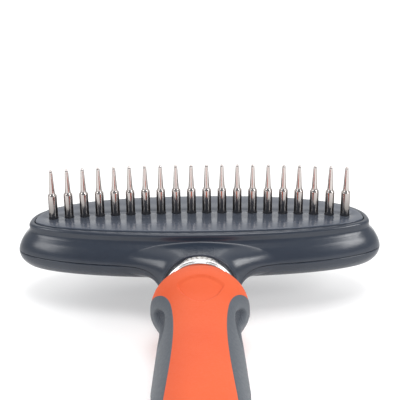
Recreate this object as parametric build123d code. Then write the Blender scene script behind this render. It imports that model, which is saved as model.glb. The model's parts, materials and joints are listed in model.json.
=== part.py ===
from build123d import *
import math
import os

# Undercoat rake for dogs: a T-shaped tool with one bowed row of spinning steel pins.
# The model is built about the middle of the pin plate: +X along the row, +Z the way the
# pins point, and the handle running towards -Y. It is then lifted so that the handle's
# flat underside is at z = 0 and the box is centred on x = 0 and y = 0. Millimetres.

# ---- driving dimensions -------------------------------------------------------------
FACE_Z = 28.2          # height of the head's rim above the flat underside
AXIS_DROP = 14.8       # the handle's axis lies this far below the rim

# Head, seen from the pin side: an oval whose widest line is nearer the handle.
HEAD_HALF_WIDTH = 55.3
WIDEST_Y = -4.7
BACK_DEPTH, BACK_POWER = 20.9, 2.35
FRONT_DEPTH, FRONT_POWER = 11.9, 2.05
OUTLINE_POINTS = 24
BULGE = 3.9            # how far the head stands out at its parting line
PARTING_Z = -9.5
PARTING_DIP = (-17.0, -25.0)    # between these the parting line drops to the handle's axis
HEAD_BOTTOM_Z = -15.9
WALL = 2.0

# How far the wall stands out from the rim's outline, at each height.
FRONT_SHELL_PROFILE = [
    (PARTING_Z, BULGE), (-8.2, 3.8), (-6.4, 3.1), (-4.7, 1.7), (-3.2, 0.2), (-1.5, -0.15), (0.0, 0.0)]
REAR_SHELL_PROFILE = [
    (PARTING_Z, BULGE), (-10.8, 3.75), (-13.0, 2.4), (-14.8, -0.7), (HEAD_BOTTOM_Z, -5.6)]

# Pin plate and what holds it.
RIM_WIDTH = 1.8
PLATE_GAP = 0.35
PLATE_PROUD = 0.4
LEDGE_TOP, LEDGE_BOTTOM = -2.6, -4.1
SLOT_HALF_LENGTH = 50.4
SLOT_WIDTH = 12.0
RETAINER_THICK = 2.0
RETAINER_HALF_LENGTH = 51.2
RETAINER_WIDTH = 14.4

# Pins.
PIN_COUNT = 20
PIN_PITCH = 5.0
ROW_HALF = PIN_PITCH * (PIN_COUNT - 1) / 2
ROW_BOW = 3.6          # the end pins stand this much nearer the handle than the middle ones
ROW_MIDDLE_Y = 0.8
PIN_BARREL_R = 1.45
PIN_BORE_R = PIN_BARREL_R + 0.05
PIN_FLANGE_R, PIN_FLANGE_THICK = 2.05, 1.1
PIN_BARREL_TOP = 8.3
PIN_SHOULDER = 0.55
PIN_NECK_R, PIN_TIP_R = 0.84, 0.53
PIN_NECK_FLARE = 0.2   # how much wider the fine point is where it leaves the shoulder
PIN_NECK_RISE = 1.35   # and how far up that flare reaches
PIN_TIP_Z = 17.0
PIN_NOSE = 1.0
FLANGE_PLAY = 0.1

# Neck, collar and handle. Distances run from the plate's middle towards the handle's end.
COLLAR_START, COLLAR_END = 25.5, 30.5
COLLAR_R, COLLAR_BORE_R = 11.9, 10.75
NECK_SPIGOT_R = 10.7
CORE_SPIGOT_R = 7.0
CORE_START = 19.6
COVER_START, COVER_END = 31.0, 138.0
TAIL_END = 149.7
SKIN = 2.6
CORE_BAYS = (69.0, 79.0, 101.0, 111.0)     # hollows under the core that keep its walls even
SECTION_POINTS = 24
SECTION_POWER = 2.25
# Each is a distance, a half width, a half height and the middle's height.
NECK_SECTIONS = [
    (10.0, 29.0, 5.4, -10.2), (15.5, 22.6, 8.0, -11.4), (19.0, 16.9, 9.8, -12.7),
    (22.2, 13.4, 11.2, -13.9), (COLLAR_START, 12.1, 12.1, -AXIS_DROP)]
# Each is a distance, a half width and a half height.
HANDLE_SECTIONS = [
    (31.0, 11.4, 11.3), (34.5, 13.2, 12.7), (39.0, 14.7, 13.8), (43.5, 14.1, 13.6),
    (49.0, 12.1, 12.3), (54.5, 11.4, 11.7), (62.0, 11.7, 11.7), (74.0, 12.4, 12.3),
    (88.0, 13.1, 13.3), (100.0, 13.4, 13.8), (113.0, 13.0, 13.3), (126.0, 11.9, 11.6),
    (138.0, 10.9, 9.8)]
TAIL_SECTIONS = [(138.0, 10.9, 9.8), (143.0, 10.3, 7.8), (147.6, 8.2, 5.8), (TAIL_END, 4.6, 3.8)]

# Side view of a grip: distance, height above the handle's axis.
GRIP_TOP_EDGE = [
    (38.6, 0.0), (42.0, 5.9), (47.5, 8.9), (62.0, 9.6), (86.0, 10.9), (106.0, 10.2), (123.0, 6.6)]
GRIP_REAR = 131.0
GRIP_INNER_X = 4.5     # the grips stop this far from the handle's middle, under the covers
GRIP_LOWER_SHARE = 0.85
FINGER_HOLLOWS = [(56.0, 3.2, 10.0), (101.0, 0.5, 14.0)]   # distance, height, half length
HOLLOW_DEPTH, HOLLOW_HALF_HEIGHT = 1.5, 4.2

THUMB_REST_AT, THUMB_REST_R = 47.2, 7.3

HANG_HOLE_R = 2.75
HANG_HOLE_AT = 142.6
TAIL_PLUG_R, TAIL_PLUG_LENGTH = 5.5, 8.0

# Screws.
HEAD_SCREW_X = 30.0
HEAD_SCREW_Y = (12.3, -13.1)
HEAD_SCREW_SEAT = -12.4
POST_R, REAR_POST_R = 2.3, 2.9
RETAINER_SCREW_X = (-40.0, 0.0, 40.0)
RETAINER_SCREW_OFFSET = 4.2
HANDLE_SCREW_AT = (58.0, 90.0, 122.0)
NECK_SCREW_AT = 22.6
SCREW_R, SCREW_HEAD_R, SCREW_HEAD_THICK = 1.1, 2.1, 1.3
CROSS_WIDTH, CROSS_DEPTH = 0.6, 0.7
HEAD_SCREW_LENGTH, RETAINER_SCREW_LENGTH = 8.8, 6.4
HEAD_CLEARANCE = 0.15
NECK_SCREW_SEAT = -AXIS_DROP - CORE_SPIGOT_R - 1.0
SCREW_SINK = 1.6       # depth of a handle screw's seat below the surface
SCREW_REACH = 7.5      # how far the handle screws' holes go past the axis

# The middle of the pin plate, once the whole tool is centred.
HEAD_Y = (TAIL_END - (WIDEST_Y + BACK_DEPTH + BULGE)) / 2


def row_y(x):
    """The pin row's line: a shallow bow towards the handle at both ends."""
    return ROW_MIDDLE_Y - ROW_BOW * (x / ROW_HALF) ** 2


def signed_power(value, power):
    return math.copysign(abs(value) ** power, value)


def oval(grow, z):
    """The head's outline as a face at height z, grown outwards by grow."""
    points = []
    for i in range(OUTLINE_POINTS):
        turn = 2 * math.pi * i / OUTLINE_POINTS
        back = math.sin(turn) > 0
        depth, power = (BACK_DEPTH, BACK_POWER) if back else (FRONT_DEPTH, FRONT_POWER)
        x = (HEAD_HALF_WIDTH + grow) * signed_power(math.cos(turn), 2 / power)
        y = WIDEST_Y + (depth + grow) * signed_power(math.sin(turn), 2 / power)
        points.append((x, y, z))
    return make_face(Spline(points, periodic=True))


def oval_loft(profile, ruled=False):
    return loft([oval(grow, z) for z, grow in profile], ruled=ruled)


def oval_plate(grow, low, high):
    return extrude(oval(grow, low), amount=high - low, dir=(0, 0, 1))


def bowed_slot(half_length, width, low, high):
    """A bar that follows the pin row, with round ends."""
    path = ThreePointArc(
        (-half_length + width / 2, row_y(half_length - width / 2)),
        (0, row_y(0)),
        (half_length - width / 2, row_y(half_length - width / 2)))
    return Pos(0, 0, low) * extrude(SlotArc(path, width), amount=high - low)


def cylinder(x, y, low, high, radius):
    return Pos(x, y, low) * Cylinder(radius, high - low, align=(Align.CENTER, Align.CENTER, Align.MIN))


def along_handle(start, end, radius):
    """A round bar along the handle's axis, between two distances."""
    bar = Cylinder(radius, end - start, align=(Align.CENTER, Align.CENTER, Align.MIN))
    return Pos(0, -start, -AXIS_DROP) * Rot(90, 0, 0) * bar


def handle_section(distance, half_width, half_height, middle=-AXIS_DROP):
    points = []
    for i in range(SECTION_POINTS):
        turn = 2 * math.pi * i / SECTION_POINTS
        x = half_width * signed_power(math.cos(turn), 2 / SECTION_POWER)
        z = middle + half_height * signed_power(math.sin(turn), 2 / SECTION_POWER)
        points.append((x, -distance, z))
    return make_face(Spline(points, periodic=True))


def handle_loft(sections, shrink=0.0):
    return loft([handle_section(d, w - shrink, h - shrink) for d, w, h in sections])


def above_table(solid):
    """Cuts the flat that the tool lies on."""
    size = 400
    return solid - Pos(0, 0, -FACE_Z) * Box(size, size, size, align=(Align.CENTER, Align.CENTER, Align.MAX))


def both_sides(solid):
    return solid + mirror(solid, Plane.YZ)


def screw(x, y, head_low, length):
    """A pan-head screw whose head is at its lower end, with a cross recess."""
    body = cylinder(x, y, head_low, head_low + SCREW_HEAD_THICK, SCREW_HEAD_R)
    body = fillet(body.edges().group_by(Axis.Z)[0], 0.5)
    body += cylinder(x, y, head_low + SCREW_HEAD_THICK, head_low + length, SCREW_R)
    arm = Box(CROSS_WIDTH, SCREW_HEAD_R, CROSS_DEPTH, align=(Align.CENTER, Align.CENTER, Align.MIN))
    for turn in (0, 90):
        body -= Pos(x, y, head_low) * Rot(0, 0, turn) * arm
    return body


# ---- head ---------------------------------------------------------------------------
def neck_blank():
    """The trumpet that carries the head's front wall into the round collar seat."""
    blank = loft([handle_section(*section) for section in NECK_SECTIONS])
    return blank + along_handle(COLLAR_START, COLLAR_END - 0.1, NECK_SPIGOT_R)


def parting_tool():
    """Everything above the parting surface, which dips from the head to the neck's axis."""
    dip_start, dip_end = PARTING_DIP
    reach = 40.0
    top = 20.0
    with BuildSketch(Plane.YZ) as profile:
        with BuildLine():
            start = Line((reach, PARTING_Z), (dip_start, PARTING_Z))
            dip = Spline([(dip_start, PARTING_Z), (dip_end, -AXIS_DROP)], tangents=[(-1, 0), (-1, 0)])
            out = Line(dip @ 1, (-reach, -AXIS_DROP))
            Polyline(out @ 1, (-reach, top), (reach, top), start @ 0)
        make_face()
    return extrude(profile.sketch, amount=70, both=True)


def post_places():
    return [(sign * HEAD_SCREW_X, y) for sign in (-1, 1) for y in HEAD_SCREW_Y]


def head_outside():
    rear_profile = list(reversed(REAR_SHELL_PROFILE))
    return oval_loft(FRONT_SHELL_PROFILE) + oval_loft(rear_profile) + neck_blank()


def make_head_front_shell(outside, tool):
    shell = outside & tool
    shell -= oval_plate(-RIM_WIDTH, LEDGE_TOP, 5.0)
    shell -= bowed_slot(SLOT_HALF_LENGTH, SLOT_WIDTH, LEDGE_BOTTOM - 0.5, 0.0)
    cavity = oval_loft([(PARTING_Z - 0.5, 1.2), (LEDGE_BOTTOM, -2.6)], ruled=True)
    for x, y in post_places():
        cavity -= cylinder(x, y, PARTING_Z - 1, 0, POST_R)
    shell -= cavity
    shell -= along_handle(CORE_START, COLLAR_END + 1, CORE_SPIGOT_R + 0.05)
    for x, y in post_places():
        shell -= cylinder(x, y, PARTING_Z - 1, LEDGE_BOTTOM - 0.4, SCREW_R)
    return shell


def make_head_rear_shell(outside, tool):
    shell = outside - tool
    cavity = oval_loft([(HEAD_BOTTOM_Z + WALL, -5.2), (PARTING_Z + 0.5, 1.2)], ruled=True)
    for x, y in post_places():
        cavity -= cylinder(x, y, HEAD_BOTTOM_Z, 0, REAR_POST_R)
    shell -= cavity
    shell -= along_handle(CORE_START, COLLAR_END + 1, CORE_SPIGOT_R + 0.05)
    for x, y in post_places():
        shell -= cylinder(x, y, -20, HEAD_SCREW_SEAT, SCREW_HEAD_R + HEAD_CLEARANCE)
        shell -= cylinder(x, y, -20, 0, SCREW_R + 0.1)
    shell -= cylinder(0, -NECK_SCREW_AT, -40, NECK_SCREW_SEAT, SCREW_HEAD_R + HEAD_CLEARANCE)
    shell -= cylinder(0, -NECK_SCREW_AT, -40, -AXIS_DROP, SCREW_R + 0.1)
    return shell


def make_pin_plate():
    plate = oval_plate(-RIM_WIDTH - PLATE_GAP, LEDGE_TOP, PLATE_PROUD)
    plate = fillet(plate.edges().group_by(Axis.Z)[-1], 0.35)
    plate += bowed_slot(SLOT_HALF_LENGTH - 0.2, SLOT_WIDTH - 0.4, LEDGE_BOTTOM, LEDGE_TOP)
    for x, y in pin_places():
        plate -= cylinder(x, y, LEDGE_BOTTOM - 1, 2, PIN_BORE_R)
        plate -= cylinder(x, y, LEDGE_BOTTOM - 1, flange_top() + FLANGE_PLAY, PIN_FLANGE_R + 0.1)
    for x, y in retainer_screw_places():
        plate -= cylinder(x, y, LEDGE_BOTTOM - 1, -0.8, SCREW_R)
    return plate


def flange_top():
    return LEDGE_BOTTOM + FLANGE_PLAY + PIN_FLANGE_THICK


def make_pin_retainer():
    low = LEDGE_BOTTOM - RETAINER_THICK
    bar = bowed_slot(RETAINER_HALF_LENGTH, RETAINER_WIDTH, low, LEDGE_BOTTOM)
    for x, y in retainer_screw_places():
        bar -= cylinder(x, y, low - 1, 0, SCREW_R + 0.1)
    return bar


def pin_places():
    xs = [-ROW_HALF + PIN_PITCH * i for i in range(PIN_COUNT)]
    return [(x, row_y(x)) for x in xs]


def retainer_screw_places():
    return [(x, row_y(x) + side * RETAINER_SCREW_OFFSET) for x in RETAINER_SCREW_X for side in (-1, 1)]


def make_pin(x, y):
    """One turned pin: retaining flange, thick barrel, shoulder and a fine tapered point."""
    flange_low = LEDGE_BOTTOM + FLANGE_PLAY
    neck_foot_r = PIN_NECK_R + PIN_NECK_FLARE
    neck_foot_z = PIN_BARREL_TOP + PIN_SHOULDER
    with BuildSketch(Plane.XZ) as half:
        with BuildLine():
            Polyline(
                (0, flange_low), (PIN_FLANGE_R, flange_low), (PIN_FLANGE_R, flange_top()),
                (PIN_BARREL_R, flange_top()), (PIN_BARREL_R, PIN_BARREL_TOP),
                (neck_foot_r, neck_foot_z))
            blend = Spline(
                [(neck_foot_r, neck_foot_z), (PIN_NECK_R, neck_foot_z + PIN_NECK_RISE)],
                tangents=[(-0.3, 1), (0, 1)])
            taper = Line(blend @ 1, (PIN_TIP_R, PIN_TIP_Z - PIN_NOSE))
            nose = Spline([taper @ 1, (0, PIN_TIP_Z)], tangents=[(0, 1), (-1, 0)])
            Line(nose @ 1, (0, flange_low))
        make_face()
    return Pos(x, y, 0) * revolve(half.sketch, Axis.Z)


def make_retainer_screws():
    head_low = LEDGE_BOTTOM - RETAINER_THICK - SCREW_HEAD_THICK
    return Compound([screw(x, y, head_low, RETAINER_SCREW_LENGTH) for x, y in retainer_screw_places()])


def make_head_screws():
    head_low = HEAD_SCREW_SEAT - SCREW_HEAD_THICK
    return Compound([screw(x, y, head_low, HEAD_SCREW_LENGTH) for x, y in post_places()])


# ---- handle -------------------------------------------------------------------------
def make_collar():
    collar = along_handle(COLLAR_START, COLLAR_END, COLLAR_R)
    collar = fillet(collar.edges().filter_by(GeomType.CIRCLE), 0.7)
    return collar - along_handle(COLLAR_START - 1, COLLAR_END + 1, COLLAR_BORE_R)


def right_grip_window():
    """The side outline of the right grip, from near the handle's middle outwards."""
    top = GRIP_TOP_EDGE
    lower = [(d, -z * GRIP_LOWER_SHARE) for d, z in reversed(top[1:])]
    points = [(-d, z - AXIS_DROP) for d, z in [*top, (GRIP_REAR, 0.0), *lower]]
    with BuildSketch(Plane.YZ) as outline:
        with BuildLine():
            Spline(points, periodic=True)
        make_face()
    return Pos(GRIP_INNER_X, 0, 0) * extrude(outline.sketch, amount=30)


def make_core(core_body):
    core = core_body + along_handle(CORE_START, COVER_START + 1, CORE_SPIGOT_R)
    core -= along_handle(COVER_END - TAIL_PLUG_LENGTH, COVER_END + 1, TAIL_PLUG_R + 0.05)
    core -= cylinder(0, -NECK_SCREW_AT, -30, -AXIS_DROP, SCREW_R)
    for distance in HANDLE_SCREW_AT:
        core -= cylinder(0, -distance, -40, 0, SCREW_R + 0.15)
        core -= cylinder(0, -distance, -AXIS_DROP + 2.0, 0, 3.1)
    for start in CORE_BAYS:
        bay = Box(12.0, 5.0, 9.0, align=(Align.CENTER, Align.MAX, Align.MAX))
        core -= Pos(0, -start, -AXIS_DROP - 2.0) * bay
    return core


def make_covers(skin):
    front_half = Pos(0, 0, -AXIS_DROP) * Box(400, 400, 60, align=(Align.CENTER, Align.CENTER, Align.MIN))
    front = skin & front_half
    rear = skin - front_half
    for distance in HANDLE_SCREW_AT:
        boss_top = half_size_at(distance)[1] - SKIN / 2
        front += cylinder(0, -distance, -AXIS_DROP + 2.1, -AXIS_DROP + boss_top, 3.0)
        front -= cylinder(0, -distance, -AXIS_DROP + 1, -AXIS_DROP + SCREW_REACH, SCREW_R)
        rear -= cylinder(0, -distance, -40, screw_seat(distance), SCREW_HEAD_R + HEAD_CLEARANCE)
        rear -= cylinder(0, -distance, -40, -AXIS_DROP, SCREW_R + 0.15)
    front -= thumb_rest()
    return front, rear


def screw_seat(distance):
    """Height of the seat that a handle screw's head is sunk to."""
    underside = max(-AXIS_DROP - half_size_at(distance)[1], -FACE_Z)
    return underside + SCREW_SINK


def thumb_rest():
    """A shallow dish in the front cover, just behind the collar."""
    dish = scale(Sphere(1), by=(THUMB_REST_R, THUMB_REST_R, 1.0))
    return Pos(0, -THUMB_REST_AT, -AXIS_DROP + 12.8) * Rot(8, 0, 0) * dish


def finger_hollows():
    """The hollows in one side's grip, under the thumb and the fingers."""
    cutters = []
    for distance, height, half_length in FINGER_HOLLOWS:
        half_width = half_size_at(distance)[0]
        hollow = scale(Sphere(1), by=(2 * HOLLOW_DEPTH, half_length, HOLLOW_HALF_HEIGHT))
        cutters.append(Pos(half_width + HOLLOW_DEPTH * 0.45, -distance, height - AXIS_DROP) * hollow)
    return cutters


def half_size_at(distance):
    """The handle's half width and half height at a distance, between its sections."""
    for (d0, w0, h0), (d1, w1, h1) in zip(HANDLE_SECTIONS, HANDLE_SECTIONS[1:]):
        if d0 <= distance <= d1:
            share = (distance - d0) / (d1 - d0)
            return w0 + (w1 - w0) * share, h0 + (h1 - h0) * share
    raise ValueError(distance)


def make_right_grip(grip):
    for cutter in finger_hollows():
        grip -= cutter
    return grip


def make_handle_screws():
    screws = []
    for distance in HANDLE_SCREW_AT:
        head_low = screw_seat(distance) - SCREW_HEAD_THICK
        screws.append(screw(0, -distance, head_low, -AXIS_DROP + SCREW_REACH - 0.3 - head_low))
    return Compound(screws)


def make_neck_screw():
    return screw(0, -NECK_SCREW_AT, NECK_SCREW_SEAT - SCREW_HEAD_THICK, HEAD_SCREW_LENGTH)


def make_tail_cap():
    cap = above_table(handle_loft(TAIL_SECTIONS))
    cap += along_handle(COVER_END - TAIL_PLUG_LENGTH + 0.2, COVER_END + 1, TAIL_PLUG_R)
    return cap - cylinder(0, -HANG_HOLE_AT, -40, 0, HANG_HOLE_R)


# ---- assembly -----------------------------------------------------------------------
def build():
    outside = head_outside()
    tool = parting_tool()
    nodes = {
        "head_front_shell": make_head_front_shell(outside, tool),
        "head_rear_shell": make_head_rear_shell(outside, tool),
        "pin_plate": make_pin_plate(),
        "pin_retainer": make_pin_retainer(),
        "retainer_screws": make_retainer_screws(),
        "head_screws": make_head_screws(),
        "neck_screw": make_neck_screw(),
        "collar_ring": make_collar(),
    }
    for number, (x, y) in enumerate(pin_places(), start=1):
        nodes[f"pin_{number:02d}"] = make_pin(x, y)

    body = above_table(handle_loft(HANDLE_SECTIONS))
    core_body = handle_loft(HANDLE_SECTIONS, shrink=SKIN)
    window = right_grip_window()
    outer_skin = body - core_body
    front_cover, rear_cover = make_covers(outer_skin - both_sides(window))
    nodes["handle_core"] = make_core(core_body)
    nodes["handle_front_cover"] = front_cover
    nodes["handle_rear_cover"] = rear_cover
    right_grip = make_right_grip(outer_skin & window)
    nodes["right_grip"] = right_grip
    nodes["left_grip"] = mirror(right_grip, Plane.YZ)
    nodes["handle_screws"] = make_handle_screws()
    nodes["tail_cap"] = make_tail_cap()
    return nodes


def main():
    os.makedirs("parts", exist_ok=True)
    whole = []
    for name, shape in build().items():
        placed = Pos(0, HEAD_Y, FACE_Z) * shape
        solids = placed.solids()
        export_step(Compound(solids), f"parts/{name}.step")
        whole.extend(solids)
    box = Compound(whole).bounding_box()
    print("box", [round(v, 2) for v in (*box.min, *box.max)])


main()
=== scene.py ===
"""The looks of the deshedding tool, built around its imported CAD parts.

Shapes are worked out in millimetres about the middle of the pin plate, at the height of the head's rim,
with y towards the head's back edge. place() turns them into the part's own frame, in metres.
"""

import json
import math

import bmesh
import bpy
import numpy as np
from mathutils import Matrix, Vector


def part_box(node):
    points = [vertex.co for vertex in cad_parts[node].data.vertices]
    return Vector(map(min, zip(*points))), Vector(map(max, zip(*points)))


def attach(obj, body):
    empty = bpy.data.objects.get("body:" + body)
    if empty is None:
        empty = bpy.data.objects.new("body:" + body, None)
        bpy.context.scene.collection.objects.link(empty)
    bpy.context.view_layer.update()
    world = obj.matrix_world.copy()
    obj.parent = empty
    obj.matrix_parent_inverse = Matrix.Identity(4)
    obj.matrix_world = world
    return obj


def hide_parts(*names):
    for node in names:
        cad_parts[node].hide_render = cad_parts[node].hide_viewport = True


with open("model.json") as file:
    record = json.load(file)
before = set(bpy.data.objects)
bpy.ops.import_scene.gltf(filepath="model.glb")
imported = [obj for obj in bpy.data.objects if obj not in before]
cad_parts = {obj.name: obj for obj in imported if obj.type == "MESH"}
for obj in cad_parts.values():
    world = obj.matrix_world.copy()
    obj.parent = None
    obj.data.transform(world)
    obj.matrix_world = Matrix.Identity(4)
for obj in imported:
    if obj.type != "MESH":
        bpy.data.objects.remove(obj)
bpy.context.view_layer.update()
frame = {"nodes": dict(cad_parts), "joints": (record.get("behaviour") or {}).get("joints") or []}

MM = 0.001
TOOL = "tool"

# ---- sizes shared with the CAD part, mm ----------------------------------------------------------
HEAD_HALF_WIDTH = 55.3
WIDEST_Y = -4.7
BACK_DEPTH, BACK_POWER = 20.9, 2.35
FRONT_DEPTH, FRONT_POWER = 11.9, 2.05
PARTING_Z = -9.5
HEAD_BOTTOM_Z = -15.9
COLLAR_START = 25.5
SECTION_POWER = 2.25
HANDLE_SECTIONS = [
    (31.0, 11.1, 11.3), (34.5, 12.95, 12.7), (39.0, 14.65, 13.8), (43.5, 14.05, 13.6),
    (49.0, 12.1, 12.2), (54.5, 11.6, 11.7), (62.0, 11.85, 11.7), (74.0, 12.3, 12.3),
    (88.0, 12.8, 13.3), (100.0, 13.1, 13.8), (113.0, 12.8, 13.3), (126.0, 11.8, 11.6),
    (138.0, 10.9, 9.8)]
# How much narrower the handle's lower half is, behind the bulb that the fingers close round.
UNDERCUT = [(31.0, 0.0), (34.5, 0.05), (39.0, 0.1), (43.5, 0.15), (49.0, 0.15), (54.5, 0.08),
            (62.0, 0.0), (80.0, 0.0), (150.0, 0.0)]
TAIL_SECTIONS = [(138.0, 10.9, 9.8), (143.0, 10.3, 7.8), (147.0, 8.4, 6.0), (149.2, 4.4, 3.4)]
HANG_HOLE_AT, HANG_HOLE_R = 142.6, 2.75
HANDLE_SCREW_AT = (58.0, 90.0, 122.0)
HEAD_SCREWS = [(x, y) for x in (-30.0, 30.0) for y in (12.3, -13.1)]
NECK_SCREW_AT = 22.6
HEAD_WELL_TOP_Z, NECK_WELL_TOP_Z = -12.4, -22.9
SCREW_WELL_R = 2.25

# Where the shared sizes are measured from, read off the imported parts.
collar_low, collar_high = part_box("collar_ring")
RIM_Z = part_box("head_front_shell")[1].z / MM
HEAD_Y = collar_high.y / MM + COLLAR_START
AXIS_Z = (collar_low.z + collar_high.z) / 2 / MM - RIM_Z
TABLE_Z = -RIM_Z


# ---- small geometry tools -------------------------------------------------------------------------
def place(points):
    """Millimetres about the pin plate to metres in the part's frame."""
    return (np.asarray(points, float) + (0.0, HEAD_Y, RIM_Z)) * MM


def signed_power(values, power):
    return np.sign(values) * np.abs(values) ** power


def ramp(values, low, high):
    """0 below low, 1 above high, smooth in between."""
    t = np.clip((np.asarray(values, float) - low) / (high - low), 0.0, 1.0)
    return t * t * (3 - 2 * t)


def spline(xs, ys):
    """The natural cubic through the points, as a function."""
    xs, ys = np.asarray(xs, float), np.asarray(ys, float)
    n = len(xs)
    step = np.diff(xs)
    system, right = np.zeros((n, n)), np.zeros(n)
    system[0, 0] = system[-1, -1] = 1.0
    for i in range(1, n - 1):
        system[i, i - 1:i + 2] = step[i - 1], 2 * (step[i - 1] + step[i]), step[i]
        right[i] = 6 * ((ys[i + 1] - ys[i]) / step[i] - (ys[i] - ys[i - 1]) / step[i - 1])
    bend = np.linalg.solve(system, right)

    def value(x):
        x = np.asarray(x, float)
        i = np.clip(np.searchsorted(xs, x) - 1, 0, n - 2)
        a, b, h = xs[i + 1] - x, x - xs[i], step[i]
        straight = (ys[i] / h - bend[i] * h / 6) * a + (ys[i + 1] / h - bend[i + 1] * h / 6) * b
        return bend[i] * a ** 3 / (6 * h) + bend[i + 1] * b ** 3 / (6 * h) + straight

    return value


def hermite(t, start, leave, end, arrive):
    """The cubic from start to end that has the given tangents there."""
    return ((2 * t ** 3 - 3 * t ** 2 + 1) * start + (t ** 3 - 2 * t ** 2 + t) * leave
            + (3 * t ** 2 - 2 * t ** 3) * end + (t ** 3 - t ** 2) * arrive)


def run_along(points):
    """How far along a line of points each one is."""
    return np.concatenate([[0], np.cumsum(np.linalg.norm(np.diff(points, axis=0), axis=1))])


def path_through(points, count):
    """count points, evenly spaced, on a smooth path through the given ones."""
    points = np.asarray(points, float)
    reach = np.concatenate([[0], np.cumsum(np.linalg.norm(np.diff(points, axis=0), axis=1) ** 0.5)])
    dense = np.linspace(0, reach[-1], 40 * len(points))
    tangent = np.gradient(points, reach, axis=0)
    i = np.clip(np.searchsorted(reach, dense, side="right") - 1, 0, len(points) - 2)
    h = reach[i + 1] - reach[i]
    t = ((dense - reach[i]) / h)[:, None]
    h = h[:, None]
    curve = hermite(t, points[i], h * tangent[i], points[i + 1], h * tangent[i + 1])
    run = run_along(curve)
    even = np.linspace(0, run[-1], count)
    return np.stack([np.interp(even, run, curve[:, k]) for k in range(points.shape[1])], axis=1)


def grid_faces(rows, columns, wrap=False, start=0):
    """Quads between rows of points, each row `columns` long and closed on itself if wrap."""
    faces = []
    for r in range(rows - 1):
        for c in range(columns if wrap else columns - 1):
            d = (c + 1) % columns
            a, b = start + r * columns, start + (r + 1) * columns
            faces.append((a + c, a + d, b + d, b + c))
    return faces


def make_mesh(name, points, faces, outwards=True):
    """An object of the given points (mm) and faces, with its faces turned outwards."""
    mesh = bpy.data.meshes.new(name)
    mesh.from_pydata(place(points).tolist(), [], [tuple(map(int, f)) for f in faces])
    if outwards:
        work = bmesh.new()
        work.from_mesh(mesh)
        bmesh.ops.recalc_face_normals(work, faces=work.faces)
        work.to_mesh(mesh)
        work.free()
    mesh.validate()
    piece = bpy.data.objects.new(name, mesh)
    bpy.context.scene.collection.objects.link(piece)
    return piece


def smooth(piece, sharp_degrees):
    mesh = piece.data
    mesh.shade_smooth()
    mesh.set_sharp_from_angle(angle=math.radians(sharp_degrees))
    return piece


def thick_patch(name, outer, inner):
    """A closed sheet between two grids of points of the same shape (rows, columns, 3)."""
    rows, columns = outer.shape[:2]
    count = rows * columns
    faces = grid_faces(rows, columns) + grid_faces(rows, columns, start=count)
    edge = [(0, c) for c in range(columns)] + [(r, columns - 1) for r in range(1, rows)]
    edge += [(rows - 1, c) for c in range(columns - 2, -1, -1)]
    edge += [(r, 0) for r in range(rows - 2, 0, -1)]
    loop = [r * columns + c for r, c in edge]
    for a, b in zip(loop, loop[1:] + loop[:1]):
        faces.append((a, b, b + count, a + count))
    return make_mesh(name, np.concatenate([outer.reshape(-1, 3), inner.reshape(-1, 3)]), faces)


def closed_back(rows, columns):
    """Quads that join the last row of points to the first."""
    last = (rows - 1) * columns
    return [(last + c, last + (c + 1) % columns, (c + 1) % columns, c) for c in range(columns)]


def capped_ends(rows, columns):
    """One face over the first row of points and one over the last."""
    return [tuple(range(columns)), tuple(range((rows - 1) * columns, rows * columns))]


def stack_of_rings(name, rings, closed=False):
    """A solid through rings of points, with flat ends, or closed back onto its first ring."""
    rows, columns = len(rings), len(rings[0])
    ends = closed_back if closed else capped_ends
    faces = grid_faces(rows, columns, wrap=True) + ends(rows, columns)
    return make_mesh(name, np.concatenate(rings), faces)


def turned_piece(name, profile, centre, axis="z", segments=64, closed=False):
    """Turns (radius, height) points about an axis: 'z' upwards or 'y' towards the handle's end."""
    turns = np.linspace(0, 2 * math.pi, segments, endpoint=False)
    rings = []
    for radius, height in profile:
        across, other = radius * np.cos(turns), radius * np.sin(turns)
        if axis == "z":
            ring = np.stack([across, other, np.full(segments, height)], axis=1)
        else:
            ring = np.stack([across, np.full(segments, -height), other], axis=1)
        rings.append(ring + centre)
    return stack_of_rings(name, rings, closed)


def cut(piece, tools):
    """Takes the tools' volumes out of a closed piece."""
    for tool in tools:
        modifier = piece.modifiers.new("cut", "BOOLEAN")
        modifier.operation = "DIFFERENCE"
        modifier.solver = "EXACT"
        modifier.object = tool
        bpy.context.view_layer.update()
        evaluated = piece.evaluated_get(bpy.context.evaluated_depsgraph_get())
        result = bpy.data.meshes.new_from_object(evaluated)
        piece.modifiers.clear()
        piece.data = result
        bpy.data.objects.remove(tool)
    return piece


def join(target, others):
    """Adds other objects' meshes to the target's."""
    work = bmesh.new()
    work.from_mesh(target.data)
    for other in others:
        work.from_mesh(other.data)
        bpy.data.objects.remove(other)
    work.to_mesh(target.data)
    work.free()
    return target


def well(x, y, low, high):
    """A round cutter for a screw's well, with a small flare at its lower mouth."""
    mouth = SCREW_WELL_R + 0.5
    profile = [(mouth, low), (mouth, low + 0.05), (SCREW_WELL_R, low + 0.6), (SCREW_WELL_R, high)]
    return turned_piece("well", profile, (x, y, 0), segments=40)


def paint(piece, name, values):
    """A value at each vertex, for the material to read."""
    attribute = piece.data.attributes.new(name, "FLOAT", "POINT")
    attribute.data.foreach_set("value", np.clip(values, 0, 1).astype(np.float32))


def wear(mesh, material):
    mesh.materials.clear()
    mesh.materials.append(material)


def finish_piece(piece, material, body, node):
    """Gives a piece its material, slot and body, and hides the imported node that it stands for."""
    wear(piece.data, material)
    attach(piece, body)
    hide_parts(node)


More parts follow.
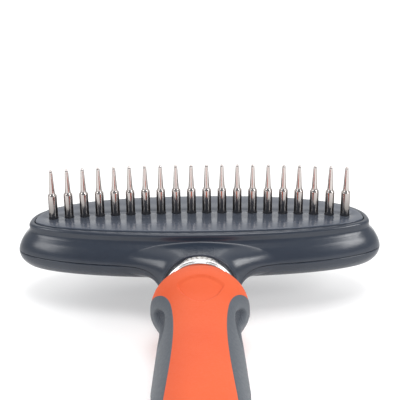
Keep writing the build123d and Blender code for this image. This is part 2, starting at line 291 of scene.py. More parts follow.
# ---- materials ------------------------------------------------------------------------------------
class Finish:
    """A node material on a Principled shader, with short ways to add noise, ramps and bumps."""

    def __init__(self, name, **values):
        self.material = bpy.data.materials.new(name)
        self.material.use_nodes = True
        self.nodes = self.material.node_tree.nodes
        self.links = self.material.node_tree.links
        self.shader = self.nodes["Principled BSDF"]
        self.place = self.nodes.new("ShaderNodeTexCoord").outputs["Object"]
        for socket, value in values.items():
            self.shader.inputs[socket.replace("_", " ")].default_value = value

    def link(self, source, target):
        self.links.new(source, target)

    def noise(self, scale, detail=3.0, stretch=None):
        """Noise with `scale` features per metre."""
        texture = self.nodes.new("ShaderNodeTexNoise")
        texture.inputs["Scale"].default_value = scale
        texture.inputs["Detail"].default_value = detail
        source = self.place
        if stretch:
            mapping = self.nodes.new("ShaderNodeMapping")
            mapping.inputs["Scale"].default_value = stretch
            self.link(source, mapping.inputs["Vector"])
            source = mapping.outputs["Vector"]
        self.link(source, texture.inputs["Vector"])
        return texture.outputs["Fac"]

    def ramp(self, source, low, high, at=(0.3, 0.7)):
        """A colour or grey ramp between two values."""
        node = self.nodes.new("ShaderNodeValToRGB")
        for element, value, position in zip(node.color_ramp.elements, (low, high), at):
            element.position = position
            element.color = (*value, 1.0) if isinstance(value, tuple) else (value, value, value, 1.0)
        self.link(source, node.inputs["Fac"])
        return node.outputs["Color"]

    def mix(self, factor, a, b):
        node = self.nodes.new("ShaderNodeMix")
        node.data_type = "RGBA"
        self.link(factor, node.inputs["Factor"])
        for value, socket in ((a, node.inputs["A"]), (b, node.inputs["B"])):
            if isinstance(value, tuple):
                socket.default_value = (*value, 1.0)
            else:
                self.link(value, socket)
        return node.outputs["Result"]

    def height(self):
        """How high the point is in the part's frame, in metres."""
        node = self.nodes.new("ShaderNodeSeparateXYZ")
        self.link(self.place, node.inputs["Vector"])
        return node.outputs["Z"]

    def attribute(self, name):
        node = self.nodes.new("ShaderNodeAttribute")
        node.attribute_name = name
        return node.outputs["Fac"]

    def bump(self, height, distance_mm, strength=1.0):
        """Adds a bump of this depth on top of those before it."""
        node = self.nodes.new("ShaderNodeBump")
        node.inputs["Strength"].default_value = strength
        node.inputs["Distance"].default_value = distance_mm * MM
        self.link(height, node.inputs["Height"])
        normal = self.shader.inputs["Normal"]
        if normal.is_linked:
            self.link(normal.links[0].from_socket, node.inputs["Normal"])
        self.link(node.outputs["Normal"], normal)


def moulded_plastic(name, dark, light, roughness):
    """Satin moulded plastic: fine eggshell texture, a faint flow pattern and slightly uneven gloss."""
    finish = Finish(name, Specular_IOR_Level=0.5, IOR=1.5)
    flow = finish.noise(60, 4, (1.0, 1.6, 1.0))
    finish.link(finish.ramp(flow, dark, light), finish.shader.inputs["Base Color"])
    gloss = finish.ramp(finish.noise(900, 3), roughness - 0.03, roughness + 0.03)
    finish.link(gloss, finish.shader.inputs["Roughness"])
    finish.bump(finish.noise(1500, 2), 0.001, 0.25)
    finish.bump(finish.noise(120, 2), 0.01, 0.15)
    return finish.material


def soft_orange():
    """Soft-touch paint over plastic: powdery, with a very fine grain and slightly uneven colour."""
    finish = Finish("soft_orange", Specular_IOR_Level=0.2, Sheen_Weight=0.03, Sheen_Roughness=0.5)
    tint = finish.ramp(finish.noise(45, 4), (0.61, 0.086, 0.026), (0.64, 0.104, 0.033))
    finish.link(tint, finish.shader.inputs["Base Color"])
    finish.link(finish.ramp(finish.noise(1500, 3), 0.56, 0.68), finish.shader.inputs["Roughness"])
    finish.bump(finish.noise(2600, 3), 0.008, 0.4)
    return finish.material


def grip_rubber():
    """Soft rubber: leathery fine grain, with painted shade and knurling where the mesh asks for them.
    """
    finish = Finish("grip_rubber", Specular_IOR_Level=0.3, Sheen_Weight=0.03, Sheen_Roughness=0.6)
    tint = finish.ramp(finish.noise(70, 4), (0.074, 0.084, 0.097), (0.092, 0.103, 0.117))
    # painted shade: the rubber turns darker blue-grey where the mesh's hollow value is high (finger
    # hollow, rib grooves, border next to the cover)
    shaded = finish.mix(finish.attribute("hollow"), tint, (0.030, 0.037, 0.052))
    finish.link(shaded, finish.shader.inputs["Base Color"])
    finish.link(finish.ramp(finish.noise(1200, 3), 0.5, 0.66), finish.shader.inputs["Roughness"])
    finish.bump(finish.noise(2400, 4), 0.012, 0.5)
    finish.bump(finish.attribute("knurl"), 0.22, 1.0)
    return finish.material


def bright_metal(name, tint, edge_tint, roughness, streak, painted_shade_tint=None, heights=None):
    """Polished plated metal with faint turning marks and smudges.

    Given a painted-shade tint, its tint darkens to that one from the upper of two heights (m) down to
    the lower: painted shade towards the part's base.
    """
    finish = Finish(name, Metallic=1.0, Base_Color=(*tint, 1.0), Specular_Tint=(*edge_tint, 1.0))
    marks = finish.noise(400, 3, streak)
    finish.link(finish.ramp(marks, roughness * 0.7, roughness * 1.5), finish.shader.inputs["Roughness"])
    finish.bump(finish.noise(2600, 2, streak), 0.0015, 0.3)
    # painted shade: the tint darkens from the upper height down to the lower
    if painted_shade_tint:
        shaded = finish.ramp(finish.height(), painted_shade_tint, tint, heights)
        finish.link(shaded, finish.shader.inputs["Base Color"])
    return finish.material


def zinc_steel():
    """Dull zinc plate on the screws."""
    finish = Finish("zinc_steel", Metallic=1.0)
    tint = finish.ramp(finish.noise(700, 4), (0.42, 0.42, 0.40), (0.62, 0.61, 0.58))
    finish.link(tint, finish.shader.inputs["Base Color"])
    finish.link(finish.ramp(finish.noise(1600, 3), 0.28, 0.45), finish.shader.inputs["Roughness"])
    finish.bump(finish.noise(3000, 3), 0.008, 0.5)
    return finish.material


head_plastic = moulded_plastic("head_plastic", (0.021, 0.028, 0.042), (0.027, 0.035, 0.051), 0.24)
plate_plastic = moulded_plastic("plate_plastic", (0.056, 0.067, 0.090), (0.066, 0.078, 0.103), 0.2)
core_plastic = moulded_plastic("core_plastic", (0.050, 0.050, 0.056), (0.062, 0.062, 0.068), 0.42)
orange = soft_orange()
rubber = grip_rubber()
# the pins darken towards the pin plate: painted shade low on the pins
nickel = bright_metal("nickel", (0.54, 0.50, 0.48), (0.2, 0.19, 0.19), 0.12, (1.0, 1.0, 0.12),
                      (0.24, 0.225, 0.215), ((RIM_Z + 3.5) * MM, (RIM_Z + 9.2) * MM))
chrome = bright_metal("chrome", (0.76, 0.755, 0.75), (0.4, 0.4, 0.4), 0.165, (0.3, 1.0, 0.3))
zinc = zinc_steel()


# ---- the head's outline and wall ------------------------------------------------------------------
def outline(turn, grow):
    """Points (x, y) of the head's outline, grown outwards. turn is an angle or an array of them."""
    back = np.sin(turn) > 0
    depth = np.where(back, BACK_DEPTH, FRONT_DEPTH) + grow
    power = np.where(back, BACK_POWER, FRONT_POWER)
    x = (HEAD_HALF_WIDTH + grow) * signed_power(np.cos(turn), 2 / power)
    return x, WIDEST_Y + depth * signed_power(np.sin(turn), 2 / power)


def outline_turns(count):
    """Turns that space points along the outline closer where it bends more."""
    fine = np.linspace(0, 2 * math.pi, 8001)
    x, y = outline(fine, 0.0)
    dx, dy = np.diff(x), np.diff(y)
    heading = np.unwrap(np.arctan2(dy, dx))
    bend = np.abs(np.diff(heading, append=heading[-1]))
    weight = np.hypot(dx, dy) + 25.0 * np.minimum(bend, 0.05)
    run = np.concatenate([[0], np.cumsum(weight)])
    return np.interp(np.linspace(0, run[-1], count, endpoint=False), run, fine)


TURNS = outline_turns(360)


def wall_rows(profile):
    rows = []
    for grow, z in profile:
        x, y = outline(TURNS, grow)
        rows.append(np.stack([x, y, np.full_like(x, z)], axis=1))
    return rows


# Across the head's wall from the groove round the pin plate, over the rim, to the parting line.
RIM_EDGE = [(-1.8, -1.9), (-1.8, -1.0), (-1.8, -0.22), (-1.74, -0.06), (-1.6, 0.0), (-1.2, 0.0),
            (-0.8, -0.05), (-0.46, -0.18), (-0.2, -0.42), (-0.05, -0.76), (0.0, -1.15)]
FRONT_WALL = [(0.0, -1.15), (-0.06, -1.8), (0.0, -2.4), (0.35, -3.1), (1.1, -3.95), (1.95, -4.9),
              (2.65, -6.0), (3.2, -7.1), (3.6, -8.2), (3.84, -9.2)]
REAR_WALL = [(3.84, -9.8), (3.72, -10.8), (3.25, -12.1), (2.3, -13.4), (1.0, -14.5), (-0.9, -15.3),
             (-3.2, -15.75), (-5.8, HEAD_BOTTOM_Z)]
PARTING_EDGE = [(3.76, 0.15), (3.56, 0.035), (1.2, 0.035)]     # how far out, how far from the parting


def head_front_wall():
    """The front shell's rim and wall, down the outside and back up the inside."""
    outside = [*path_through(RIM_EDGE, 26), *path_through(FRONT_WALL, 40)[1:]]
    lip = [(grow, PARTING_Z + gap) for grow, gap in PARTING_EDGE]
    ledge = [(-2.6, -4.1), (-4.6, -2.6), (-1.8, -2.5)]
    return stack_of_rings("head_front", wall_rows([*outside, *lip, *ledge]), closed=True)


def head_rear_wall():
    """The rear shell's bowl: from its inner floor up to the lip, and down to its flat bottom."""
    inside = [(-6.2, HEAD_BOTTOM_Z + 2.0), (-1.5, -13.4), (1.0, -11.4)]
    lip = [(grow, PARTING_Z - gap) for grow, gap in reversed(PARTING_EDGE)]
    return stack_of_rings("head_rear", wall_rows([*inside, *lip, *path_through(REAR_WALL, 36)]))


# ---- the neck -------------------------------------------------------------------------------------
NECK_HALF_WIDTH = 25.0     # of the line where the neck leaves the wall
NECK_LOWER_TUCK = 6.0      # how much narrower that line is below the parting
NECK_START_Z = -2.35
NECK_END_R = 12.1
NECK_INNER_SHARE = 0.86    # the size of its inside over that of its outside
PROFILE = path_through([*FRONT_WALL[1:], *REAR_WALL], 400)
PROFILE_RUN = run_along(PROFILE)
NECK_TOP_RUN = float(np.interp(-NECK_START_Z, -PROFILE[:, 1], PROFILE_RUN))
NECK_SIDE_RUN = float(np.interp(-PARTING_Z, -PROFILE[:, 1], PROFILE_RUN))
NECK_BOTTOM_RUN = PROFILE_RUN[-1] - 0.4


def wall_point(x, run):
    """The point of the front wall at this x and this far down the wall's profile."""
    grow = np.interp(run, PROFILE_RUN, PROFILE[:, 0])
    z = np.interp(run, PROFILE_RUN, PROFILE[:, 1])
    across = np.clip(np.abs(x) / (HEAD_HALF_WIDTH + grow), 0, 1)
    y = WIDEST_Y - (FRONT_DEPTH + grow) * (1 - across ** FRONT_POWER) ** (1 / FRONT_POWER)
    return np.stack([x, y, z], axis=-1)


def neck_line(turn, share):
    """Where the neck leaves the wall, shrunk towards its middle by share."""
    height = np.sin(turn)
    reach = np.where(height > 0, NECK_TOP_RUN - NECK_SIDE_RUN, NECK_BOTTOM_RUN - NECK_SIDE_RUN)
    run = NECK_SIDE_RUN + share * reach * np.abs(height)
    half_width = NECK_HALF_WIDTH - NECK_LOWER_TUCK * ramp(-height, 0.0, 0.5)
    return wall_point(share * half_width * np.cos(turn), run)


def neck_ring(turns, radius, distance):
    """A round row of points about the handle's axis, this far from the pin plate's middle."""
    return np.stack([radius * np.cos(turns), np.full_like(turns, -distance),
                     AXIS_Z + radius * np.sin(turns)], axis=1)


def neck_surface(turns, rows):
    """The flare from the wall to the collar, as rows of points."""
    start = neck_line(turns, 1.0)
    inwards = neck_line(turns, 0.97) - start
    inwards /= np.linalg.norm(inwards, axis=1, keepdims=True)
    up = np.sin(turns)[:, None]
    side = np.abs(np.cos(turns))[:, None]
    leave = inwards * np.where(up > 0, 3.0 + 11.0 * side ** 1.5, 10.0 + 4.0 * side ** 1.5)
    end = neck_ring(turns, NECK_END_R, COLLAR_START - 0.12)
    arrive = np.array([0.0, -1.0, 0.0]) * np.where(up > 0, 8.0 - 1.0 * side, 9.0)
    grid = []
    for v in np.linspace(0, 1, rows) ** 1.15:
        line = hermite(v, start, leave, end, arrive)
        # the sides keep the wall's height for a while, and drop to the collar's late
        late = ramp(v ** 2.2, 0, 1)
        held = start[:, 2] + (end[:, 2] - start[:, 2]) * late
        line[:, 2] += (held - line[:, 2]) * side[:, 0] ** 2
        grid.append(line)
    return np.array(grid)


def neck_half(name, upper):
    """One shell's half of the neck, from the wall to a rounded end inside the collar."""
    from_parting = 0.012
    turns = np.linspace(from_parting, math.pi - from_parting, 121)
    if not upper:
        turns = -turns
    rounded_end = [(NECK_END_R - 0.03, COLLAR_START - 0.06), (NECK_END_R - 0.15, COLLAR_START),
                   (NECK_END_R - 1.3, COLLAR_START)]
    outer = np.array([*neck_surface(turns, 40), *(neck_ring(turns, *at) for at in rounded_end)])
    middle_z = AXIS_Z * 0.75
    inner = outer.copy()
    inner[:, :, 0] *= NECK_INNER_SHARE
    inner[:, :, 1] = np.minimum(outer[:, :, 1] + 1.2, -12.0)
    inner[:, :, 2] = middle_z + (outer[:, :, 2] - middle_z) * NECK_INNER_SHARE
    outer[:, [0, -1], 0] *= 0.988      # a narrow bevel along the parting line
    return thick_patch(name, outer, inner)


# ---- pin plate and pins ---------------------------------------------------------------------------
PLATE_GROW = -2.1
PLATE_TOP, PLATE_BOTTOM = 0.4, -2.2
PIN_SEAT = [(1.66, PLATE_TOP), (1.53, PLATE_TOP - 0.1), (1.5, PLATE_TOP - 0.5), (1.5, PLATE_BOTTOM)]


def pin_place(joint):
    x, y, _ = joint["pos_m"]
    return x / MM, y / MM - HEAD_Y


pin_joints = [j for j in frame["joints"] if j["child"].startswith("pin_")]
PIN_PLACES = [pin_place(j) for j in pin_joints]


def pin_plate():
    """The oval plate with a rounded edge and a small countersunk seat round each pin."""
    edge = [(0.0, PLATE_BOTTOM), (0.0, -0.4), (0.0, PLATE_TOP - 0.35), (-0.045, PLATE_TOP - 0.17),
            (-0.13, PLATE_TOP - 0.07), (-0.26, PLATE_TOP - 0.015), (-0.42, PLATE_TOP)]
    rows = wall_rows([(PLATE_GROW + grow, z) for grow, z in edge])
    n = len(TURNS)
    points = list(np.concatenate(rows))
    faces = grid_faces(len(rows), n, wrap=True)
    rim = [(len(rows) - 1) * n + c for c in range(n)]
    seats = []
    segments = 32
    circle = np.linspace(0, 2 * math.pi, segments, endpoint=False)
    for x, y in PIN_PLACES:
        start = len(points)
        for radius, z in PIN_SEAT:
            points += list(np.stack([x + radius * np.cos(circle), y + radius * np.sin(circle),
                                     np.full_like(circle, z)], axis=1))
        faces += grid_faces(len(PIN_SEAT), segments, wrap=True, start=start)
        seats.append([start + c for c in range(segments)])
    piece = make_mesh("pin_plate_top", points, faces, outwards=False)
    work = bmesh.new()
    work.from_mesh(piece.data)
    work.verts.ensure_lookup_table()
    edges = []
    for loop in [rim, *seats]:
        for a, b in zip(loop, loop[1:] + loop[:1]):
            edges.append(work.edges.get((work.verts[a], work.verts[b])))
    bmesh.ops.triangle_fill(work, edges=edges, use_beauty=True, normal=(0, 0, 1))
    bmesh.ops.recalc_face_normals(work, faces=work.faces)
    work.to_mesh(piece.data)
    work.free()
    return smooth(piece, 50)


# A pin's radius at each height: its flange and barrel, its fine point, and the blunt end of that.
PIN_BARREL = [(0.0, -3.9), (2.05, -3.9), (2.05, -2.9), (1.45, -2.85), (1.45, -1.0), (1.45, 2.0),
              (1.45, 5.0), (1.45, 8.15), (1.435, 8.27), (1.39, 8.36)]
PIN_POINT = [(1.39, 8.36), (1.25, 8.5), (1.1, 8.68), (1.01, 8.95), (0.95, 9.4), (0.9, 10.0),
             (0.85, 11.0), (0.78, 12.6), (0.69, 14.4), (0.62, 15.6)]
PIN_NOSE = [(0.62, 15.6), (0.61, 15.9), (0.57, 16.3), (0.48, 16.65), (0.34, 16.88), (0.17, 16.98),
            (0.01, 17.0)]


def pins():
    """One turned pin for each joint, riding on its own body."""
    profile = [*PIN_BARREL, *path_through(PIN_POINT, 30)[1:], *path_through(PIN_NOSE, 12)[1:]]
    for joint, (x, y) in zip(pin_joints, PIN_PLACES):
        pin_body = pin_node = joint["child"]
        pin = turned_piece(pin_node + "_turned", profile, (x, y, 0), segments=40)
        finish_piece(smooth(pin, 40), nickel, pin_body, pin_node)


# ---- collar ---------------------------------------------------------------------------------------
# The collar's radius at each distance from the pin plate's middle.
COLLAR_BAND = [(11.3, 25.5), (11.66, 25.62), (11.82, 26.1), (11.88, 27.3), (11.84, 28.6), (11.7, 29.1),
               (11.4, 29.28)]
COLLAR_LIP = [(11.4, 29.28), (11.4, 29.42), (11.66, 29.52), (11.78, 29.8), (11.74, 30.3), (11.45, 30.5)]
COLLAR_BORE_R = 10.75


def collar():
    """The chrome ring: a crowned band, a fine groove and a thin lip next to the handle."""
    outside = [*path_through(COLLAR_BAND, 30), *path_through(COLLAR_LIP, 22)[1:]]
    profile = [(COLLAR_BORE_R, COLLAR_BAND[0][1]), *outside, (COLLAR_BORE_R, COLLAR_LIP[-1][1])]
    ring = turned_piece("collar", profile, (0, 0, AXIS_Z), axis="y", segments=160, closed=True)
    return smooth(ring, 60)


# ---- handle ---------------------------------------------------------------------------------------
handle_width = spline([d for d, _, _ in HANDLE_SECTIONS], [w for _, w, _ in HANDLE_SECTIONS])
handle_height = spline([d for d, _, _ in HANDLE_SECTIONS], [h for _, _, h in HANDLE_SECTIONS])
undercut = spline(*zip(*UNDERCUT))
TABLE_EDGE = 0.12
tail_width = spline([d for d, _, _ in TAIL_SECTIONS], [w for _, w, _ in TAIL_SECTIONS])
tail_height = spline([d for d, _, _ in TAIL_SECTIONS], [h for _, _, h in TAIL_SECTIONS])


def handle_point(distance, angle, out=0.0, width=handle_width, height=handle_height):
    """A point of the handle's surface: distance along it, angle round it, moved out along its normal.

    Nothing goes below the table: the lowest part is flat there, with an eased edge.
    """
    w, h = width(distance), height(distance)
    c, s = np.cos(angle), np.sin(angle)
    size = (np.abs(c) ** SECTION_POWER + np.abs(s) ** SECTION_POWER) ** (-1 / SECTION_POWER)
    x, z = w * size * c, h * size * s
    nx = np.sign(c) * np.abs(x / w) ** (SECTION_POWER - 1) / w
    nz = np.sign(s) * np.abs(z / h) ** (SECTION_POWER - 1) / h
    length = np.hypot(nx, nz)
    x = x * (1 - undercut(distance) * ramp(-s, 0.0, 0.6)) + out * nx / length
    z = AXIS_Z + z + out * nz / length
    above = z - TABLE_Z
    eased = np.where(above > -TABLE_EDGE, (above + TABLE_EDGE) ** 2 / (4 * TABLE_EDGE), 0.0)
    z = np.where(above < TABLE_EDGE, TABLE_Z + eased, z)
    return np.stack(np.broadcast_arrays(x, -distance, z), axis=-1)


# Edges of a grip: distance and angle in degrees, from its front tip to its rear tip.
GRIP_START, GRIP_END = 38.7, 131.0
GRIP_UPPER = [(38.7, 3), (39.5, 14), (42.3, 28.5), (46.0, 41), (52.0, 48), (62.0, 54), (74.0, 56),
              (90.0, 54), (104.0, 49), (118.0, 38), (127.0, 21), (131.0, 2)]
GRIP_LOWER = [(38.7, 3), (39.5, -10), (42.5, -25), (48.0, -37), (58.0, -44), (74.0, -48),
              (92.0, -47), (108.0, -42), (120.0, -31), (127.5, -15), (131.0, 2)]
GRIP_PROUD, GRIP_ROOT, GRIP_BACK = 0.12, -0.3, -1.9      # how far out its face, border and back lie
GRIP_BED = 1.95            # how much lower the cover is under a grip
COVER_BACK = -2.3
# Edges of the hollow for a fingertip, in the same way.
HOLLOW_UPPER = [(44.6, 9), (45.6, 18), (47.4, 25), (50.5, 31), (54.0, 34.5), (58.0, 36.5),
                (62.0, 36), (65.5, 33), (68.5, 27), (70.0, 21)]
HOLLOW_LOWER = [(44.6, 8), (46.0, 2), (50.0, 1), (56.0, 5), (62.0, 10), (66.0, 14), (70.0, 20)]
HOLLOW_DEPTH = 1.25
RIBS_MIDDLE, RIBS_HALF_LENGTH, RIBS_HALF_ANGLE = 105.0, 19.0, 25.0
RIB_PITCH, RIB_HEIGHT, RIB_PANEL_DEPTH = 3.4, 0.75, 0.95


def grip_share(distance):
    """How far along a grip, from 0 to 1, faster at its rounded tips, which need more rows."""
    share = np.clip((np.asarray(distance, float) - GRIP_START) / (GRIP_END - GRIP_START), 0, 1)
    return np.arccos(1 - 2 * share) / math.pi


def grip_distance(share):
    return GRIP_START + (GRIP_END - GRIP_START) * (1 - np.cos(math.pi * share)) / 2


upper_edge = spline([grip_share(d) for d, _ in GRIP_UPPER], [math.radians(a) for _, a in GRIP_UPPER])
lower_edge = spline([grip_share(d) for d, _ in GRIP_LOWER], [math.radians(a) for _, a in GRIP_LOWER])
hollow_upper = spline(*zip(*HOLLOW_UPPER))
hollow_lower = spline(*zip(*HOLLOW_LOWER))


def thumb_rest_depth(x, distance):
    """The shallow rounded-triangle dish behind the collar, pointing towards the handle's end."""
    across = np.abs(x - 0.2)
    before = distance - (42.3 + 0.052 * across ** 2)
    after = 54.7 - 0.2 * across - 0.166 * across ** 2 - distance
    sharpness = 1.6        # of the corners where the two edges meet
    inside = -np.log(np.exp(-before * sharpness) + np.exp(-after * sharpness)) / sharpness
    edge_depth, dish_depth = 0.6, 0.1
    return edge_depth * ramp(inside, -0.1, 0.42) + dish_depth * ramp(inside, 0.4, 4.5)


def grip_bed(distance, turns):
    """1 where a grip lies on the cover, which is lower there, and 0 elsewhere."""
    if not GRIP_START < distance < GRIP_END:
        return np.zeros_like(turns)
    angle = np.where(np.cos(turns) > 0, turns, np.sign(turns) * math.pi - turns)
    low, high = lower_edge(grip_share(distance)), upper_edge(grip_share(distance))
    rough_radius = 12.5
    return ramp(np.minimum(angle - low, high - angle) * rough_radius, 0.5, 1.1)


def cover(name, upper):
    """One half of the orange sleeve, as a closed sheet with rounded ends and parting edges."""
    edge = np.radians(0.35)
    middle = np.linspace(edge * 2, math.pi - edge * 2, 181)
    turns = np.concatenate([[edge * 0.6], middle, [math.pi - edge * 0.6]])
    if not upper:
        turns = -turns
    front = [(31.02, -1.9), (31.0, -0.5), (31.06, -0.24), (31.2, -0.09), (31.42, -0.02)]
    back = [(137.75, -0.02), (137.88, -0.1), (137.95, -0.25), (137.95, -1.9)]
    body = [(d, 0.0) for d in np.concatenate([np.arange(31.7, 60, 0.42), np.linspace(60, 137.5, 110)])]
    rows = [*front, *body, *back]
    outer, inner = [], []
    for distance, out in rows:
        line = handle_point(np.full_like(turns, distance), turns, out)
        lowered = GRIP_BED * grip_bed(distance, turns)
        if upper:
            lowered = lowered + thumb_rest_depth(line[:, 0], distance)
        line = handle_point(np.full_like(turns, distance), turns, out - lowered)
        line[[0, -1], 0] *= 0.985
        outer.append(line)
        inner.append(handle_point(np.full_like(turns, distance), turns, COVER_BACK))
    return thick_patch(name, np.array(outer), np.array(inner))


def finger_hollow(distance, angle):
    """Depth and mask of the leaf-shaped hollow near the front of a grip."""
    rough_radius = 12.0
    upper_gap = (np.radians(hollow_upper(distance)) - angle) * rough_radius
    lower_gap = (angle - np.radians(hollow_lower(distance))) * rough_radius
    within = (distance > HOLLOW_UPPER[0][0]) & (distance < HOLLOW_UPPER[-1][0])
    mask = ramp(upper_gap, -0.1, 0.75) * ramp(lower_gap, 0.0, 2.2) * within
    return HOLLOW_DEPTH * mask, mask


def rib_field(distance, angle):
    """Depth of the ribbed side panel towards the rear of a grip, and a mask of its grooves for painted
    shade.
    """
    rough_radius = 13.0
    along = (distance - RIBS_MIDDLE) / RIBS_HALF_LENGTH
    inside = np.clip(1 - np.abs(along) ** 2.6, 0, 1)
    half = np.radians(RIBS_HALF_ANGLE) * inside ** 0.5 + 1e-6
    gap = (1 - np.abs(angle - np.radians(3.0)) / half) * half * rough_radius
    mask = ramp(gap, 0.0, 0.7) * (inside > 0)
    first_groove = RIBS_MIDDLE - RIBS_HALF_LENGTH
    wave = 0.5 - 0.5 * np.cos(2 * math.pi * (distance - first_groove) / RIB_PITCH)
    rib = ramp(wave, 0.35, 0.75)
    return mask * (RIB_PANEL_DEPTH - RIB_HEIGHT * rib), mask * (1 - rib)


def grip(name, side):
    """A soft side panel: a little proud of the cover, its border rolled down into it.

    Its vertices carry painted shade (hollow), darker in the finger hollow, in the grooves between the
    ribs and along the border next to the cover, and the height of the knurling (knurl).
    """
    rows, columns = 300, 96
    v = np.linspace(0.004, 0.996, rows)
    across = -np.cos(math.pi * np.linspace(0, 1, columns))
    distance = grip_distance(v)[:, None] * np.ones(columns)
    low, high = lower_edge(v)[:, None], upper_edge(v)[:, None]
    angle = (low + high) / 2 + (high - low) / 2 * across[None, :]
    radius = (handle_width(distance) + handle_height(distance)) / 2
    half_span = (high - low) / 2 * radius
    from_side = half_span * (1 - np.abs(across))[None, :]
    tip = np.minimum(distance - GRIP_START, GRIP_END - distance)
    slope = np.hypot(1.0, np.gradient(half_span[:, 0], distance[:, 0]))[:, None]
    border = np.minimum(from_side / slope, tip * 3.0 + from_side)
    roll = np.clip(border / 0.5, 0, 1)
    out = GRIP_ROOT + (GRIP_PROUD - GRIP_ROOT) * np.sqrt(np.clip(1 - (1 - roll) ** 2, 0, 1))
    hollow, hollow_mask = finger_hollow(distance, angle)
    ribs, rib_mask = rib_field(distance, angle)
    out = out - hollow - ribs
    turned = angle if side > 0 else math.pi - angle
    outer = handle_point(distance, turned, out)
    inner = handle_point(distance, turned, GRIP_BACK)
    piece = thick_patch(name, outer, inner)
    count = rows * columns
    knurl = 0.5 + 0.5 * np.sin(2 * math.pi * (distance / 1.05 + angle * radius / 1.9))
    # painted shade: darker in the finger hollow, between the ribs and along the upper border next to
    # the cover
    by_cover = 1 - ramp((upper_edge(v)[:, None] - angle) * radius, 0.3, 5.0)
    painted_shade = np.maximum(hollow_mask * 0.75 + rib_mask * 0.7, 0.3 * by_cover)
    paint(piece, "hollow", np.concatenate([painted_shade.reshape(-1), np.zeros(count)]))
    paint(piece, "knurl", np.concatenate([(hollow_mask * knurl).reshape(-1), np.zeros(count)]))
    return smooth(piece, 60)


def tail_cap():
    """The rounded end of the handle, with its hanging hole."""
    turns = np.linspace(0, 2 * math.pi, 160, endpoint=False)
    rows = [(138.05, -1.9), (138.05, -0.25), (138.12, -0.1), (138.3, -0.02)]
    rows += [(d, 0.0) for d in np.linspace(138.6, 149.1, 40)]
    rings = [handle_point(np.full_like(turns, d), turns, out, tail_width, tail_height)
             for d, out in rows]
    end = rings[-1]
    middle = end.mean(axis=0)
    for share, step in ((0.93, 0.12), (0.82, 0.25), (0.66, 0.36), (0.45, 0.43), (0.2, 0.47)):
        ring = middle + (end - middle) * share
        ring[:, 1] = end[:, 1] - step
        rings.append(ring)
    flared = 4.4
    profile = [(flared, -28.0), (HANG_HOLE_R, -23.4), (HANG_HOLE_R, -8.4), (flared, -3.6)]
    piece = stack_of_rings("tail", rings)
    hole = turned_piece("hole", profile, (0, -HANG_HOLE_AT, 0), segments=64)
    return smooth(cut(piece, [hole]), 30)


# ---- build the pieces -----------------------------------------------------------------------------
front_head = join(smooth(head_front_wall(), 40), [smooth(neck_half("neck_front", True), 40)])
finish_piece(front_head, head_plastic, TOOL, "head_front_shell")

head_wells = [well(x, y, HEAD_BOTTOM_Z - 1.6, HEAD_WELL_TOP_Z) for x, y in HEAD_SCREWS]
rear_wall = cut(head_rear_wall(), head_wells)
rear_neck = cut(neck_half("neck_rear", False), [well(0, -NECK_SCREW_AT, -30.0, NECK_WELL_TOP_Z)])
rear_head = join(smooth(rear_wall, 40), [smooth(rear_neck, 40)])
finish_piece(rear_head, head_plastic, TOOL, "head_rear_shell")

finish_piece(pin_plate(), plate_plastic, TOOL, "pin_plate")
pins()
finish_piece(collar(), chrome, TOOL, "collar_ring")

front_cover = smooth(cover("cover_front", True), 40)
finish_piece(front_cover, orange, TOOL, "handle_front_cover")
rear_cover = cover("cover_rear", False)
handle_wells = [well(0, -d, TABLE_Z - 1, -handle_height(d) + AXIS_Z + 2.0) for d in HANDLE_SCREW_AT]
rear_cover = smooth(cut(rear_cover, handle_wells), 40)
finish_piece(rear_cover, orange, TOOL, "handle_rear_cover")
finish_piece(grip("grip_left", -1), rubber, TOOL, "left_grip")
finish_piece(grip("grip_right", 1), rubber, TOOL, "right_grip")
finish_piece(tail_cap(), orange, TOOL, "tail_cap")

kept = {
    "pin_retainer": plate_plastic, "handle_core": core_plastic, "retainer_screws": zinc,
    "head_screws": zinc, "neck_screw": zinc, "handle_screws": zinc}
for node, material in kept.items():
    wear(frame["nodes"][node].data, material)


# ---- floor, camera and light ----------------------------------------------------------------------
def floor():
    """A pale table top, a hair below the handle's flat underside."""
    mesh = bpy.data.meshes.new("floor")
    size, z = 4.0, -0.05 * MM
    corners = [(-size, -size, z), (size, -size, z), (size, size, z), (-size, size, z)]
    mesh.from_pydata(corners, [], [(0, 1, 2, 3)])
    plane = bpy.data.objects.new("floor", mesh)
    bpy.context.scene.collection.objects.link(plane)
    finish = Finish("floor", Base_Color=(0.72, 0.72, 0.72, 1.0), Roughness=0.7, Specular_IOR_Level=0.2,
                    Emission_Color=(1.0, 1.0, 1.0, 1.0), Emission_Strength=0.3)
    finish.bump(finish.noise(30, 2), 0.05, 0.1)
    mesh.materials.append(finish.material)


CAMERA_AT = (0.606, -299.55, 128.975)
CAMERA_PITCH, CAMERA_YAW, CAMERA_ROLL = 22.5, -0.056, 0.673
CAMERA_LENS = 89.1


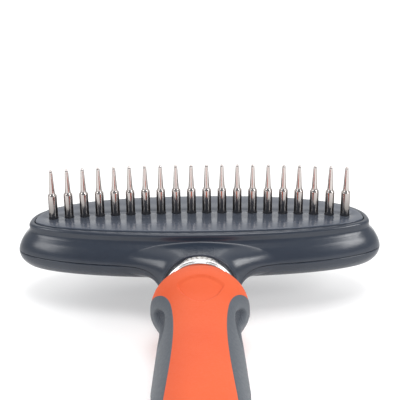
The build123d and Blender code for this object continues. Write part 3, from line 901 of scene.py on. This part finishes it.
def camera():
    """Looks along the handle from its end and from above, towards the head."""
    pitch, yaw, roll = map(math.radians, (CAMERA_PITCH, CAMERA_YAW, CAMERA_ROLL))
    level = math.cos(pitch)
    forward = Vector((math.sin(yaw) * level, math.cos(yaw) * level, -math.sin(pitch)))
    right = Vector((math.cos(yaw), -math.sin(yaw), 0))
    down = forward.cross(right)
    turned_right = right * math.cos(roll) + down * math.sin(roll)
    turned_down = -right * math.sin(roll) + down * math.cos(roll)
    data = bpy.data.cameras.new("camera")
    data.lens = CAMERA_LENS
    data.clip_start = 0.01
    view = bpy.data.objects.new("camera", data)
    bpy.context.scene.collection.objects.link(view)
    axes = Matrix((turned_right, -turned_down, -forward)).transposed().to_4x4()
    view.matrix_world = Matrix.Translation(Vector(place(CAMERA_AT).tolist())) @ axes
    bpy.context.scene.camera = view


def soft_box(name, at, towards, size, power):
    """A rectangular lamp, all in metres and watts."""
    data = bpy.data.lights.new(name, "AREA")
    data.shape = "RECTANGLE"
    data.size, data.size_y = size
    data.energy = power
    lamp = bpy.data.objects.new(name, data)
    bpy.context.scene.collection.objects.link(lamp)
    lamp.location = at
    lamp.rotation_euler = (Vector(towards) - Vector(at)).to_track_quat("-Z", "Y").to_euler()


def studio():
    """A white tent: bright behind the head, dimmer towards the handle's end."""
    world = bpy.data.worlds.new("tent")
    bpy.context.scene.world = world
    world.use_nodes = True
    nodes, links = world.node_tree.nodes, world.node_tree.links
    direction = nodes.new("ShaderNodeTexCoord").outputs["Generated"]
    split = nodes.new("ShaderNodeSeparateXYZ")
    links.new(direction, split.inputs["Vector"])
    shade = nodes.new("ShaderNodeValToRGB")
    dim, bright = shade.color_ramp.elements
    dim.position, bright.position = 0.28, 0.72
    dim.color, bright.color = (0.26, 0.265, 0.28, 1.0), (1.0, 1.0, 1.0, 1.0)
    lift = nodes.new("ShaderNodeMath")
    lift.operation = "MULTIPLY_ADD"
    lift.inputs[1].default_value = 0.5
    lift.inputs[2].default_value = 0.5
    links.new(split.outputs["Y"], lift.inputs[0])
    links.new(lift.outputs[0], shade.inputs["Fac"])
    background = nodes["Background"]
    links.new(shade.outputs["Color"], background.inputs["Color"])
    background.inputs["Strength"].default_value = 1.15


floor()
camera()
studio()
soft_box("top", (0.05, -0.1, 0.8), (0, 0.02, 0), (0.4, 0.4), 2.8)
soft_box("left", (-0.6, -0.32, 0.36), (0, 0.05, 0.02), (0.3, 0.35), 1.8)
soft_box("right", (0.6, -0.32, 0.40), (0, 0.05, 0.02), (0.3, 0.35), 3.3)
soft_box("back", (0.0, 0.5, 0.45), (0, 0.03, 0.02), (0.7, 0.16), 0.5)
bpy.context.scene.view_settings.view_transform = "Standard"
